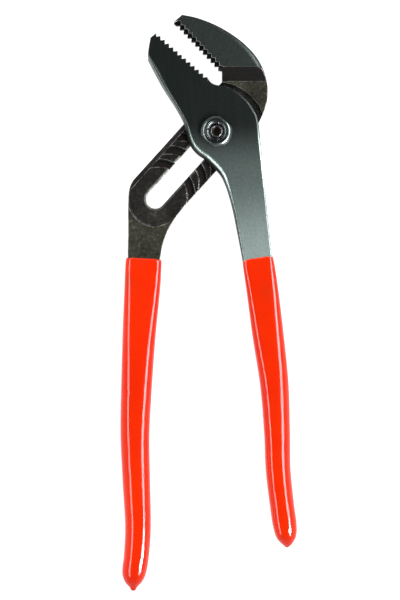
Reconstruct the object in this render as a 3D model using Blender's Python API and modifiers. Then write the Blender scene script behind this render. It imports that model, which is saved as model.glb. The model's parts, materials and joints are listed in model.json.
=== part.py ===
"""Tongue and groove pliers of 12 inch size, lying flat with the jaws up (+Y) and the nut towards +Z.

Six pieces: the slotted groove half (arm, upper jaw), the tongue half (hub, lower jaw), the pivot bolt
keyed in the slot, its staked nut, and a dipped grip on each handle. All lengths below are millimetres.
The origin is on the pivot axis at the flat face of the bolt head.
"""
import bpy
import bmesh
import math
from mathutils import Vector
from mathutils.geometry import interpolate_bezier

MM = 0.001
GAP = 0.3                   # clearance kept between neighbouring pieces

# levels through the thickness
HEAD_TOP = 2.8              # bolt head, 0 to here
BACK = 3.1                  # back face of the groove half and of both jaws
LEDGE = 8.4                 # lowered flank along the arm
GROOVE_FLOOR = 8.7
TONGUE_TIP = 9.1
JOINT = 10.6                # joint face of the arm
PAD = 10.9                  # bearing pad of the tongue half
NECK = 11.1                 # raised face of the arm past the slot
RELIEF = 11.4               # relieved back of the tongue half
SHOULDER = 12.9             # step of the groove half round the hub
FRONT = 17.4                # front face of both jaws and of the tongue half
NUT_BASE = 17.7
NUT_TOP = 21.0
BOLT_TOP = 21.2

# slot and grooves
SLOT_ANGLE = 47.9           # degrees above +X, pointing at the upper jaw
SLOT_HALF = 5.0
SLOT_END = -48.4            # centre of the lower end, measured along the slot
SLOT_START = 1.6            # centre of the upper end
POSITIONS = 7
PITCH = 7.8
ARC = 18.0                  # middle radius of each arc groove and of the tongue
GROOVE_WIDTH = 3.8
TONGUE_WIDTH = 3.0
TONGUE_FROM = 14.0          # degrees round from the slot line, towards the left rail
TONGUE_TO = 46.0
RAIL_LEFT = -13.25          # edges of the joint face, measured across the slot
ARM_LEFT = -15.55
ARM_RIGHT = 13.9
NECK_ARC = 14.3
SHOULDER_ARC = 25.5

# hub, bolt and nut
HUB_HOLE = 5.0
PAD_RADIUS = 13.8
JAW_CLEAR = 28.5            # the lower jaw is full depth outside this radius
KEY_RADIUS = 5.6
KEY_HALF = 4.7
JOURNAL = 4.7
THREAD = 3.3
HEAD_RADIUS = 9.0
NUT_RADIUS = 8.4
NUT_FLATS = 7.05
NUT_BORE = 3.6

# jaws
TOOTH_DEPTH = 1.4
UPPER_TEETH = 11            # whole pitches between the first and the last crest
UPPER_TIP = (-21.4, 56.1)
UPPER_ROOT = (1.0, 32.3)
LOWER_TEETH = 12
LOWER_TIP = (-32.1, 52.3)
LOWER_ROOT = (-4.9, 28.6)
STEP_TOP = 34.3             # slanted step under the upper jaw, along Y
STEP_FOOT = 26.5

# grips: distance along -Y, centre X, half width, centre Z, half depth
LEFT_GRIP = (
    (67.3, -38.6, 9.5, 7.1, 4.8),
    (71.0, -38.8, 9.7, 7.2, 5.2),
    (83.0, -39.4, 9.6, 8.0, 5.8),
    (108.0, -41.1, 8.9, 9.8, 6.4),
    (134.0, -42.4, 8.3, 10.25, 6.5),
    (160.0, -43.3, 7.8, 10.25, 6.4),
    (185.0, -42.6, 7.4, 10.25, 6.3),
    (210.0, -41.7, 6.9, 10.25, 6.2),
    (226.0, -42.6, 6.7, 10.25, 6.1),
    (235.0, -43.9, 6.3, 10.25, 5.6),
    (239.5, -44.2, 4.5, 10.25, 4.2),
    (242.0, -44.2, 2.2, 10.25, 2.2),
    (243.8, -44.2, 1.1, 10.25, 1.1),
)
RIGHT_GRIP = (
    (67.1, 21.8, 8.1, 14.4, 3.7),
    (71.0, 22.4, 8.4, 14.2, 4.2),
    (83.0, 24.2, 8.5, 13.2, 5.3),
    (108.0, 27.4, 8.4, 10.9, 6.3),
    (134.0, 30.7, 7.7, 10.25, 6.5),
    (160.0, 32.2, 7.0, 10.25, 6.3),
    (180.0, 32.8, 6.7, 10.25, 6.2),
    (200.0, 35.0, 6.5, 10.25, 6.1),
    (209.0, 36.3, 6.4, 10.25, 5.8),
    (215.5, 37.2, 5.3, 10.25, 5.0),
    (219.0, 37.5, 2.9, 10.25, 2.9),
    (220.8, 37.5, 0.9, 10.25, 0.9),
)
CORE_END_LEFT = 226.0
CORE_END_RIGHT = 205.0
RING = 28                   # points round a grip

U = Vector((math.cos(math.radians(SLOT_ANGLE)), math.sin(math.radians(SLOT_ANGLE))))
V = Vector((U.y, -U.x))


def uv(u, v):
    """Point given along and across the slot, turned into X and Y."""
    p = U * u + V * v
    return (p.x, p.y)


# ---------------------------------------------------------------- scene and materials

def clear_scene():
    for ob in list(bpy.data.objects):
        bpy.data.objects.remove(ob, do_unlink=True)
    for col in list(bpy.data.collections):
        bpy.data.collections.remove(col)


def collection(name, hidden=False):
    col = bpy.data.collections.new(name)
    bpy.context.scene.collection.children.link(col)
    col.hide_render = hidden
    return col


def material(name, colour, roughness, metallic):
    mat = bpy.data.materials.new(name)
    mat.use_nodes = True
    bsdf = mat.node_tree.nodes["Principled BSDF"]
    bsdf.inputs["Base Color"].default_value = (*colour, 1.0)
    bsdf.inputs["Roughness"].default_value = roughness
    bsdf.inputs["Metallic"].default_value = metallic
    mat.diffuse_color = (*colour, 1.0)
    return mat


# ---------------------------------------------------------------- outlines

def path(points, steps=5):
    """Closed outline: 's' points are passed smoothly, 'c' points are corners."""
    pos = [Vector((p[0], p[1], 0.0)) for p in points]
    kind = [p[2] for p in points]
    count = len(pos)
    out = []
    for i in range(count):
        a, b = pos[i], pos[(i + 1) % count]
        before, after = pos[i - 1], pos[(i + 2) % count]
        reach = (b - a).length / 3.0
        smooth_a = kind[i] == "s"
        smooth_b = kind[(i + 1) % count] == "s"
        if not smooth_a and not smooth_b:
            out.append((a.x, a.y))
            continue
        ta = tangent(before, a, b) if smooth_a else (b - a).normalized()
        tb = tangent(a, b, after) if smooth_b else (b - a).normalized()
        curve = interpolate_bezier(a, a + ta * reach, b - tb * reach, b, steps + 1)
        out.extend((q.x, q.y) for q in curve[:-1])
    return out


def tangent(before, here, after):
    d0 = (here - before).length
    d1 = (after - here).length
    return ((here - before) / d0 * d1 + (after - here) / d1 * d0).normalized()


def teeth(tip, root, count, side):
    """Row of teeth from tip to root; the valleys lie on the given side of the line."""
    a, b = Vector(tip), Vector(root)
    run = (b - a) / count
    across = Vector((run.y, -run.x)).normalized() * side * TOOTH_DEPTH
    out = []
    for i in range(count):
        crest = a + run * i
        out.append((*(crest + run * 0.08), "c"))
        out.append((*(crest + run * 0.45 + across), "c"))
        out.append((*(crest + run * 0.55 + across), "c"))
        out.append((*(crest + run * 0.92), "c"))
    out.append((*b, "c"))
    return out


def groove_outline():
    pts = [(-29.8, -66.5, "c"), (-28.6, -60.0, "s"), (-26.5, -54.0, "s"), (-23.4, -48.0, "s"),
           (*uv(-42.5, ARM_RIGHT + 0.05), "s"), (*uv(-32.0, ARM_RIGHT), "c"), (*uv(17.0, ARM_RIGHT), "c"),
           (24.7, 9.4, "s"), (26.8, 16.0, "s"), (27.2, 23.5, "s"), (25.6, 31.0, "s"), (21.5, 39.2, "s"),
           (15.4, 46.0, "s"), (6.5, 52.7, "s"), (-3.5, 57.9, "s"), (-12.0, 60.7, "s"), (-18.3, 61.9, "c"),
           (-22.3, 58.3, "c"), (-22.6, 57.0, "c")]
    pts += teeth(UPPER_TIP, UPPER_ROOT, UPPER_TEETH, -1)
    pts += [(2.9, 31.9, "c"), (2.9, 26.2, "c"), (*uv(19.0, ARM_LEFT), "c"), (*uv(-48.6, ARM_LEFT), "c"),
            (-45.7, -28.5, "s"), (-46.5, -31.4, "s"), (-46.8, -36.0, "s"), (-46.9, -52.5, "s"),
            (-47.1, -66.0, "c")]
    return path(pts)


def tongue_outline():
    pts = [(13.6, -67.6, "c"), (11.4, -56.0, "s"), (7.2, -36.6, "s"), (4.6, -28.5, "s"), (2.6, -24.3, "s"),
           (0.3, -21.3, "s"), (-3.4, -17.8, "s"), (-7.0, -14.5, "s"), (-9.3, -13.0, "s"),
           (-11.5, -11.0, "s"), (-13.5, -8.3, "s"), (-14.9, -4.8, "s"), (-15.9, -0.6, "s"),
           (-17.4, 4.2, "s"), (-20.5, 10.1, "s"), (-29.3, 24.3, "s"), (-32.6, 30.4, "s"),
           (-36.4, 37.7, "c"), (-36.4, 41.0, "s"), (-35.1, 49.6, "c")]
    pts += teeth(LOWER_TIP, LOWER_ROOT, LOWER_TEETH, 1)
    pts += [(-4.0, 27.1, "s"), (-2.6, 25.6, "s"), (-0.8, 24.7, "s"), (1.2, 24.4, "c"), (5.0, 23.9, "s"),
            (9.2, 22.0, "s"), (13.5, 18.9, "s"), (16.7, 15.8, "s"), (19.3, 12.2, "s"), (21.5, 8.0, "s"),
            (22.5, 3.0, "s"), (23.1, -3.0, "s"), (24.6, -18.0, "s"), (26.4, -37.0, "s"), (29.3, -65.4, "c")]
    return path(pts)


# ---------------------------------------------------------------- solids

def mesh_object(name, bm, home):
    me = bpy.data.meshes.new(name)
    bmesh.ops.recalc_face_normals(bm, faces=bm.faces)
    bm.to_mesh(me)
    bm.free()
    ob = bpy.data.objects.new(name, me)
    home.objects.link(ob)
    return ob


def slab(name, outline, z0, z1, home):
    """Flat outline given thickness, through a filled 2D curve."""
    cu = bpy.data.curves.new(name, "CURVE")
    cu.dimensions = "2D"
    cu.fill_mode = "BOTH"
    cu.extrude = (z1 - z0) / 2.0 * MM
    spline = cu.splines.new("POLY")
    spline.points.add(len(outline) - 1)
    for point, (x, y) in zip(spline.points, outline):
        point.co = (x * MM, y * MM, 0.0, 1.0)
    spline.use_cyclic_u = True
    flat = bpy.data.objects.new(name + "_flat", cu)
    home.objects.link(flat)
    bpy.context.view_layer.update()
    me = bpy.data.meshes.new_from_object(flat.evaluated_get(bpy.context.evaluated_depsgraph_get()))
    bm = bmesh.new()
    bm.from_mesh(me)
    bmesh.ops.remove_doubles(bm, verts=bm.verts, dist=0.000002)
    bmesh.ops.translate(bm, verts=bm.verts, vec=(0.0, 0.0, (z0 + z1) / 2.0 * MM))
    bpy.data.objects.remove(flat, do_unlink=True)
    bpy.data.meshes.remove(me)
    return mesh_object(name, bm, home)


def disc(name, radius, z0, z1, centre, home, steps=64):
    bm = bmesh.new()
    bmesh.ops.create_cone(bm, cap_ends=True, segments=steps, radius1=radius * MM, radius2=radius * MM,
                          depth=(z1 - z0) * MM)
    move = (centre[0] * MM, centre[1] * MM, (z0 + z1) / 2.0 * MM)
    bmesh.ops.translate(bm, verts=bm.verts, vec=move)
    return mesh_object(name, bm, home)


def sector(name, inner, outer, start, stop, centre, z0, z1, home, steps=24):
    """Arc-shaped bar; angles in degrees from the slot line, towards the left rail."""
    pts = []
    for i in range(steps + 1):
        pts.append(turned_point(outer, start + (stop - start) * i / steps, centre))
    for i in range(steps + 1):
        pts.append(turned_point(inner, stop + (start - stop) * i / steps, centre))
    return slab(name, pts, z0, z1, home)


def turned_point(radius, degrees, centre):
    a = math.radians(SLOT_ANGLE + degrees)
    return (centre[0] + radius * math.cos(a), centre[1] + radius * math.sin(a))


def stadium(start, stop, half, steps=20):
    """Rounded bar outline along the slot."""
    pts = []
    for i in range(steps + 1):
        a = math.pi / 2 + math.pi * i / steps
        pts.append(uv(stop + half * math.cos(a), half * math.sin(a)))
    for i in range(steps + 1):
        a = -math.pi / 2 + math.pi * i / steps
        pts.append(uv(start + half * math.cos(a), half * math.sin(a)))
    return pts


def band(u0, u1, v0, v1):
    """Straight-sided outline laid out along and across the slot."""
    return [uv(u0, v0), uv(u1, v0), uv(u1, v1), uv(u0, v1)]


def lathe(name, profile, steps, home):
    """Turned piece: profile of (radius, height) run round the Z axis with the Screw modifier."""
    bm = bmesh.new()
    verts = [bm.verts.new((r * MM, 0.0, z * MM)) for r, z in profile]
    for a, b in zip(verts, verts[1:]):
        bm.edges.new((a, b))
    me = bpy.data.meshes.new(name)
    bm.to_mesh(me)
    bm.free()
    ob = bpy.data.objects.new(name, me)
    home.objects.link(ob)
    mod = ob.modifiers.new("turn", "SCREW")
    mod.steps = steps
    mod.render_steps = steps
    mod.use_merge_vertices = True
    mod.merge_threshold = 0.00001
    mod.use_normal_calculate = True
    return baked(ob)


def baked(ob):
    """Replace an object's mesh by what its modifiers make of it."""
    bpy.context.view_layer.update()
    dg = bpy.context.evaluated_depsgraph_get()
    me = bpy.data.meshes.new_from_object(ob.evaluated_get(dg))
    old = ob.data
    ob.modifiers.clear()
    ob.data = me
    bpy.data.meshes.remove(old)
    return ob


def boolean(ob, other, operation, keep=False):
    mod = ob.modifiers.new("join", "BOOLEAN")
    mod.operation = operation
    mod.solver = "EXACT"
    mod.object = other
    baked(ob)
    if not keep:
        bpy.data.objects.remove(other, do_unlink=True)
    return ob


def cut(ob, *cutters):
    for cutter in cutters:
        boolean(ob, cutter, "DIFFERENCE")
    return ob


def join(ob, *others):
    for other in others:
        boolean(ob, other, "UNION")
    return ob


def tidy(ob, mat, angle=32.0):
    """Weld, orient, shade and colour a finished piece."""
    bm = bmesh.new()
    bm.from_mesh(ob.data)
    bmesh.ops.remove_doubles(bm, verts=bm.verts, dist=0.000003)
    bmesh.ops.dissolve_degenerate(bm, edges=bm.edges, dist=0.000002)
    bmesh.ops.recalc_face_normals(bm, faces=bm.faces)
    bm.to_mesh(ob.data)
    bm.free()
    ob.data.materials.clear()
    ob.data.materials.append(mat)
    ob.data.shade_smooth()
    ob.data.set_sharp_from_angle(angle=math.radians(angle))
    return ob


# ---------------------------------------------------------------- handles

def stations(rows, first, last, count):
    """Evenly spaced stations along a handle, read smoothly between the given ones."""
    out = []
    for i in range(count):
        y = first + (last - first) * i / (count - 1)
        out.append(read(rows, y))
    return out


def read(rows, y):
    i = 0
    while i < len(rows) - 2 and y > rows[i + 1][0]:
        i += 1
    a, b = rows[i], rows[i + 1]
    before, after = rows[max(i - 1, 0)], rows[min(i + 2, len(rows) - 1)]
    t = (y - a[0]) / (b[0] - a[0])
    span = b[0] - a[0]
    vals = [y]
    for k in range(1, len(a)):
        ma = (b[k] - before[k]) / (b[0] - before[0]) * span
        mb = (after[k] - a[k]) / (after[0] - a[0]) * span
        if t < 0.0:
            vals.append(a[k] + ma * t)
            continue
        t2, t3 = t * t, t * t * t
        vals.append((2 * t3 - 3 * t2 + 1) * a[k] + (t3 - 2 * t2 + t) * ma
                    + (3 * t2 - 2 * t3) * b[k] + (t3 - t2) * mb)
    return vals


def loft(name, rows, power, home):
    """Handle-like body: rounded sections square to the centre line, closed at both ends."""
    bm = bmesh.new()
    rings = []
    for i, row in enumerate(rows):
        y, x, half, z, depth = row[:5]
        prev, nxt = rows[max(i - 1, 0)], rows[min(i + 1, len(rows) - 1)]
        along = Vector((nxt[1] - prev[1], -(nxt[0] - prev[0]))).normalized()
        side = Vector((-along.y, along.x))
        ring = []
        for k in range(RING):
            a = 2 * math.pi * (k + 0.5) / RING
            c, s = math.cos(a), math.sin(a)
            w = half * math.copysign(abs(c) ** (2.0 / power), c)
            h = depth * math.copysign(abs(s) ** (2.0 / power), s)
            co = ((x + side.x * w) * MM, (-y + side.y * w) * MM, (z + h) * MM)
            ring.append(bm.verts.new(co))
        rings.append(ring)
    for a, b in zip(rings, rings[1:]):
        for k in range(RING):
            j = (k + 1) % RING
            bm.faces.new((a[k], a[j], b[j], b[k]))
    bm.faces.new(rings[0])
    bm.faces.new(list(reversed(rings[-1])))
    return mesh_object(name, bm, home)


def core_rows(rows, first, last, slack):
    """Steel core under a grip: the grip's own section less its skin; slack widens the cavity."""
    out = []
    for y, x, half, z, depth in stations(rows, first, last, 20):
        deep = min(max((y - 67.0) / 25.0, 0.0), 1.0)
        skin = 0.9 + 0.9 * deep
        out.append((y, x, half - skin - GAP + slack, z, depth - skin - GAP + slack))
    return out


# ---------------------------------------------------------------- pieces

def make_groove_half(home, tools, mat):
    ob = slab("groove_half", groove_outline(), BACK, FRONT, home)
    step = wedge("step_cut", tools)
    cut(ob, step)
    cut(ob, slab("neck_cut", band(-140.0, -2.0, -60.0, 60.0), NECK, FRONT + 2, tools))
    cut(ob, slab("joint_cut", stadium(0.0, SLOT_END, NECK_ARC), JOINT, FRONT + 1, tools))
    cut(ob, disc("hub_cut", SHOULDER_ARC, JOINT, FRONT + 3, (0.0, 0.0), tools, 96))
    cut(ob, slab("ledge_cut", ledge_outline(), LEDGE, FRONT + 4, tools))
    cut(ob, slab("slot_cut", stadium(SLOT_START, SLOT_END, SLOT_HALF), BACK - 1, FRONT + 5, tools))
    for i in range(POSITIONS):
        centre = uv(-PITCH * i, 0.0)
        groove = sector("groove_cut", ARC - GROOVE_WIDTH / 2, ARC + GROOVE_WIDTH / 2, -58.0, 58.0,
                        centre, GROOVE_FLOOR, NECK + 0.6, tools)
        cut(ob, groove)
    join(ob, loft("core", core_rows(LEFT_GRIP, 60.0, CORE_END_LEFT, 0.0), 3.2, tools))
    return tidy(ob, mat)


def wedge(name, home):
    """Everything above the shoulder, ending in the slanted step under the upper jaw."""
    bm = bmesh.new()
    top = FRONT + 6.0
    lean = (STEP_TOP - STEP_FOOT) / (FRONT - SHOULDER)
    far = STEP_FOOT + lean * (top - SHOULDER)
    profile = ((-120.0, SHOULDER), (STEP_FOOT, SHOULDER), (far, top), (-120.0, top))
    ends = []
    for x in (-80.0, 60.0):
        ends.append([bm.verts.new((x * MM, y * MM, z * MM)) for y, z in profile])
    for k in range(4):
        j = (k + 1) % 4
        bm.faces.new((ends[0][k], ends[0][j], ends[1][j], ends[1][k]))
    bm.faces.new(ends[0])
    bm.faces.new(ends[1])
    return mesh_object(name, bm, home)


def ledge_outline():
    """Lowered flank: outside the left rail, from the throat to the bend of the arm."""
    return [uv(21.0, RAIL_LEFT), uv(23.5, ARM_LEFT - 4.0), uv(-66.0, ARM_LEFT - 4.0), uv(-57.0, RAIL_LEFT),
            uv(-50.0, RAIL_LEFT)]


def make_tongue_half(home, tools, mat):
    ob = slab("tongue_half", tongue_outline(), BACK, FRONT, home)
    below = [(-60, -90), (60, -90), (60, 8), (14, 8), (14, -20), (-60, -20)]
    cut(ob, slab("handle_cut", below, BACK - 1, RELIEF, tools))
    relief = disc("relief_cut", JAW_CLEAR, BACK - 2, RELIEF, (0.0, 0.0), tools, 96)
    pads = disc("pad", PAD_RADIUS, PAD, RELIEF + 1, (0.0, 0.0), tools, 64)
    rim = slab("rim_pad", band(6.0, 40.0, -40.0, 40.0), PAD, RELIEF + 1, tools)
    cut(relief, join(pads, rim))
    cut(ob, relief)
    bar = sector("tongue", ARC - TONGUE_WIDTH / 2, ARC + TONGUE_WIDTH / 2, TONGUE_FROM, TONGUE_TO,
                 (0.0, 0.0), TONGUE_TIP, RELIEF + 1, tools)
    join(ob, bar)
    cut(ob, disc("hub_hole", HUB_HOLE, BACK - 3, FRONT + 1, (0.0, 0.0), tools, 48))
    join(ob, loft("core", core_rows(RIGHT_GRIP, 60.0, CORE_END_RIGHT, 0.0), 3.2, tools))
    return tidy(ob, mat)


def make_grip(name, rows, core_end, home, tools, mat):
    tip = rows[-1][0]
    body = stations(rows, rows[0][0], tip - 12.0, 26) + stations(rows, tip - 9.5, tip, 8)
    ob = loft(name, body, 2.6, home)
    cavity = loft("cavity", core_rows(rows, 58.0, core_end + GAP, GAP), 3.2, tools)
    cut(ob, cavity)
    return tidy(ob, mat, 40.0)


def make_bolt(home, tools, mat):
    profile = ((0.0, BOLT_TOP - 1.2), (1.9, BOLT_TOP - 1.2), (2.2, BOLT_TOP), (THREAD - 0.3, BOLT_TOP),
               (THREAD, BOLT_TOP - 0.3), (THREAD, FRONT), (JOURNAL, FRONT), (JOURNAL, JOINT + 0.1),
               (KEY_RADIUS, JOINT + 0.1), (KEY_RADIUS, HEAD_TOP), (HEAD_RADIUS, HEAD_TOP),
               (HEAD_RADIUS, 0.8), (HEAD_RADIUS - 0.8, 0.0), (0.0, 0.0))
    ob = lathe("pivot_bolt", profile, 48, home)
    for side in (-1.0, 1.0):
        flat = slab("key_flat", band(-9.0, 9.0, side * KEY_HALF, side * 12.0), HEAD_TOP, JOINT + 1.0, tools)
        cut(ob, flat)
    return tidy(ob, mat)


def make_nut(home, tools, mat):
    profile = ((NUT_BORE, NUT_TOP - 0.9), (5.4, NUT_TOP - 0.6), (5.6, NUT_TOP), (6.6, NUT_TOP),
               (NUT_RADIUS, NUT_TOP - 1.5), (NUT_RADIUS, NUT_BASE), (NUT_BORE, NUT_BASE),
               (NUT_BORE, NUT_TOP - 0.9))
    ob = lathe("pivot_nut", profile, 48, home)
    for side in (-1.0, 1.0):
        flat = slab("nut_flat", band(side * NUT_FLATS, side * 12.0, -12.0, 12.0), NUT_BASE - 1, NUT_TOP + 1,
                    tools)
        cut(ob, flat)
    return tidy(ob, mat)


def main():
    clear_scene()
    home = collection("tongue_and_groove_pliers")
    tools = collection("cutters", hidden=True)
    forged = material("forged_dark", (0.09, 0.08, 0.075), 0.55, 0.8)
    polished = material("polished_steel", (0.38, 0.40, 0.40), 0.30, 1.0)
    bolt_steel = material("bolt_steel", (0.30, 0.30, 0.30), 0.35, 1.0)
    nut_steel = material("nut_steel", (0.42, 0.44, 0.44), 0.28, 1.0)
    left_vinyl = material("dipped_vinyl_left", (1.0, 0.06, 0.0), 0.20, 0.0)
    right_vinyl = material("dipped_vinyl_right", (1.0, 0.06, 0.0), 0.20, 0.0)
    axis = bpy.data.objects.new("pivot_axis", None)
    home.objects.link(axis)
    make_groove_half(home, tools, forged)
    make_grip("groove_half_grip", LEFT_GRIP, CORE_END_LEFT, home, tools, left_vinyl)
    moving = [make_tongue_half(home, tools, polished),
              make_grip("tongue_half_grip", RIGHT_GRIP, CORE_END_RIGHT, home, tools, right_vinyl),
              make_bolt(home, tools, bolt_steel),
              make_nut(home, tools, nut_steel)]
    for ob in moving:
        ob.parent = axis


main()
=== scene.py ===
"""Looks of the tongue and groove pliers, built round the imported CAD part. Lengths are millimetres."""

import json
import math

import bmesh
import bpy
from mathutils import Matrix, Vector
from mathutils.geometry import interpolate_bezier


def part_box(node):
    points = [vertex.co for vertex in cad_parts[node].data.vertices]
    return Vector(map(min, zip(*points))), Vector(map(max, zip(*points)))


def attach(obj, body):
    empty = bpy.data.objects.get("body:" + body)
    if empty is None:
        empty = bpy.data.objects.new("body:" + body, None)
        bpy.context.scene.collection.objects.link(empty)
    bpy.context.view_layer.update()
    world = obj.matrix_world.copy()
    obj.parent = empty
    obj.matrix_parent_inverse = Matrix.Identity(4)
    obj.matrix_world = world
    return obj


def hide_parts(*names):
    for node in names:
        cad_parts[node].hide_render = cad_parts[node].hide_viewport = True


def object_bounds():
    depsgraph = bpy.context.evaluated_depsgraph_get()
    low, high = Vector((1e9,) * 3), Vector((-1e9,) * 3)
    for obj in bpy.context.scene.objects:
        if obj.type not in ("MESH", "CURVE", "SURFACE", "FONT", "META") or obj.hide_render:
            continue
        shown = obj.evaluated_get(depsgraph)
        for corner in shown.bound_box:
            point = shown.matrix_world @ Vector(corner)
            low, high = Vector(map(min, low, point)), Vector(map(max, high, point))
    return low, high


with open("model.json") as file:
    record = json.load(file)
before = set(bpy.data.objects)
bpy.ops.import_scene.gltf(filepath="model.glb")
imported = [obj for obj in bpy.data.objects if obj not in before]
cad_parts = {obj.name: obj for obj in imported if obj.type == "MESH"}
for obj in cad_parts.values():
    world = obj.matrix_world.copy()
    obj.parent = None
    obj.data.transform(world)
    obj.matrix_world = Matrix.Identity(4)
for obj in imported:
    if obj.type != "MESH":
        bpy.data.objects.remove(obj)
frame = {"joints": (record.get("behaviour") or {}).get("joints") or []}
CAD_BOX = [list(p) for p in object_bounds()]

MM = 0.001
HALF_A = "groove_half_body"
HALF_B = "tongue_half_body"
PIVOT = "pivot"


def level(node, side):
    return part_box(node)[side][2] / MM


# levels through the thickness, read from the CAD pieces
BACK = level("groove_half", 0)
FRONT = level("groove_half", 1)
NUT_BASE = level("pivot_nut", 0)
NUT_TOP = level("pivot_nut", 1)
BOLT_TOP = level("pivot_bolt", 1)
HEAD_TOP = BACK - 0.3
JOINT = BACK + 7.5          # plane where the two halves meet
PAD = JOINT + 0.3
NECK = JOINT + 0.5
RELIEF = NECK + 0.3
SHOULDER = JOINT + 2.3
LEDGE = JOINT - 2.2
GROOVE_FLOOR = JOINT - 1.9
TONGUE_TIP = JOINT - 1.5

# slot, read from the slide joint
SLIDE = next(j for j in frame["joints"] if j["type"] == "slide")
U = -Vector(SLIDE["axis"][:2]).normalized()
V = Vector((U.y, -U.x))
TRAVEL = SLIDE["range_m"][1] / MM
SLOT_ANGLE = math.degrees(math.atan2(U.y, U.x))
SLOT_HALF = 5.0
SLOT_END = -TRAVEL - 1.6
SLOT_START = 1.6
POSITIONS = 6
PITCH = TRAVEL / (POSITIONS - 1)
ARC = 18.0
GROOVE_WIDTH = 4.3
RAIL_LEFT = -13.25
ARM_LEFT = -15.55
ARM_RIGHT = 13.9
NECK_ARC = 14.3
GROOVE_REACH = 58.0         # half the angle that a groove cutter spans
ARC_LINE = (128.0, 232.0)   # angles between which the line round the slot's end is pressed in
RIM_ROUND = 0.55
SHOULDER_ARC = 25.5
STEP_FOOT = 26.5
STEP_HEAD = 34.3

# tooth rows; the shape is given as parts of the pitch and of the depth
TOOTH_DEPTH = 1.4
TOOTH_SHAPE = ((0.05, 0.0), (0.10, 0.05), (0.44, 0.94), (0.5, 1.0), (0.56, 0.94), (0.90, 0.05), (0.95, 0.0))
UPPER_TEETH = 11            # whole pitches between the first and the last crest
UPPER_TIP = (-21.4, 56.1)
UPPER_ROOT = (1.0, 32.3)
LOWER_TEETH = 12
LOWER_TIP = (-32.1, 52.3)
LOWER_ROOT = (-4.9, 28.6)

# hub, bolt and nut
HUB_HOLE = 5.0
HUB_PAD = 13.8
HUB_RELIEF = 28.5
RIM_PAD = 6.0
TONGUE_HALF = 1.5
TONGUE_START = 14.0
TONGUE_STOP = 46.0
HEAD_RADIUS = 9.0
KEY_RADIUS = 5.6
KEY_FLAT = 4.7
JOURNAL = 4.7
THREAD = 3.3
NUT_RADIUS = 8.4
NUT_FLAT = 7.05
NUT_BORE = 3.6
STAKES = (68.0, 166.0, 281.0)
SIDES = (-1.0, 1.0)
BEYOND = 12.0               # a cutter that reaches this far from the bolt's axis clears bolt and nut

# directions of the grinding marks on the upper jaw and of the brushing, in degrees
GRIND_TURN = -58.0
BRUSH_TURN = 83.0

# grips: distance along -Y, centre X, half width, centre Z, half depth, squareness
LEFT_GRIP = (
    (67.3, -38.6, 9.5, 7.1, 4.8, 4.2),
    (71.0, -38.8, 9.7, 7.2, 5.2, 4.2),
    (83.0, -39.4, 9.6, 8.0, 5.8, 3.8),
    (108.0, -41.1, 8.9, 9.8, 6.4, 3.1),
    (134.0, -42.4, 8.3, 10.25, 6.5, 2.6),
    (160.0, -43.3, 7.8, 10.25, 6.4, 2.4),
    (185.0, -42.6, 7.4, 10.25, 6.3, 2.3),
    (210.0, -41.7, 6.9, 10.25, 6.2, 2.3),
    (226.0, -42.6, 6.7, 10.25, 6.1, 2.3),
    (235.0, -43.9, 6.3, 10.25, 5.6, 2.2),
    (239.5, -44.2, 4.5, 10.25, 4.2, 2.1),
    (242.0, -44.2, 2.2, 10.25, 2.2, 2.0),
    (243.8, -44.2, 1.1, 10.25, 1.1, 2.0),
)
RIGHT_GRIP = (
    (67.1, 21.8, 8.1, 14.4, 3.7, 4.2),
    (71.0, 22.4, 8.4, 14.2, 4.2, 4.2),
    (83.0, 24.2, 8.5, 13.2, 5.3, 3.8),
    (108.0, 27.4, 8.4, 10.9, 6.3, 3.1),
    (134.0, 30.7, 7.7, 10.25, 6.5, 2.6),
    (160.0, 32.2, 7.0, 10.25, 6.3, 2.4),
    (180.0, 32.8, 6.7, 10.25, 6.2, 2.3),
    (200.0, 35.0, 6.5, 10.25, 6.1, 2.3),
    (209.0, 36.3, 6.4, 10.25, 5.8, 2.3),
    (215.5, 37.2, 5.3, 10.25, 5.0, 2.2),
    (219.0, 37.5, 2.9, 10.25, 2.9, 2.0),
    (220.8, 37.5, 0.9, 10.25, 0.9, 2.0),
)
# rounded lip of a grip: distance from its end, and how far the skin is drawn in there
LIP = ((0.0, 1.3), (0.05, 0.9), (0.2, 0.5), (0.45, 0.2), (0.8, 0.04))
GRIP_RINGS = 80
TIP_RINGS = 16
TIP_LENGTH = 12.0

# studio: brightness at each height of the sky, then the camera's distance, view and shift in metres
SKY = ((0.0, 0.95), (0.38, 0.66), (0.76, 0.18), (1.0, 0.07))
CAMERA_AWAY = 4.0
VIEW_HEIGHT = 0.318
VIEW_SHIFT = (-0.0046, 0.0014)


def uv(u, v):
    """Point given along and across the slot, turned into X and Y."""
    p = U * u + V * v
    return (p.x, p.y)


# ---------------------------------------------------------------- outlines

def tangent(before, here, after):
    d0 = (here - before).length
    d1 = (after - here).length
    return ((here - before) / d0 * d1 + (after - here) / d1 * d0).normalized()


def path(points, steps=10):
    """Closed outline of (x, y, flank, edge): 's' points are passed smoothly, 'c' points are corners."""
    pos = [Vector((p[0], p[1], 0.0)) for p in points]
    count = len(pos)
    out = []
    for i in range(count):
        j = (i + 1) % count
        a, b = pos[i], pos[j]
        before, after = pos[i - 1], pos[(i + 2) % count]
        reach = (b - a).length / 3.0
        smooth_a = points[i][2] == "s"
        smooth_b = points[j][2] == "s"
        if not smooth_a and not smooth_b and reach < 1.5:
            out.append((a.x, a.y, points[i][3], points[i][4]))
            continue
        ta = tangent(before, a, b) if smooth_a else (b - a).normalized()
        tb = tangent(a, b, after) if smooth_b else (b - a).normalized()
        n = max(2, min(steps, int(reach * 3.0)))
        curve = interpolate_bezier(a, a + ta * reach, b - tb * reach, b, n + 1)
        for k, q in enumerate(curve[:-1]):
            t = k / n
            t = t * t * (3 - 2 * t)
            out.append((q.x, q.y, points[i][3] * (1 - t) + points[j][3] * t,
                        points[i][4] * (1 - t) + points[j][4] * t))
    return out


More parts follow.
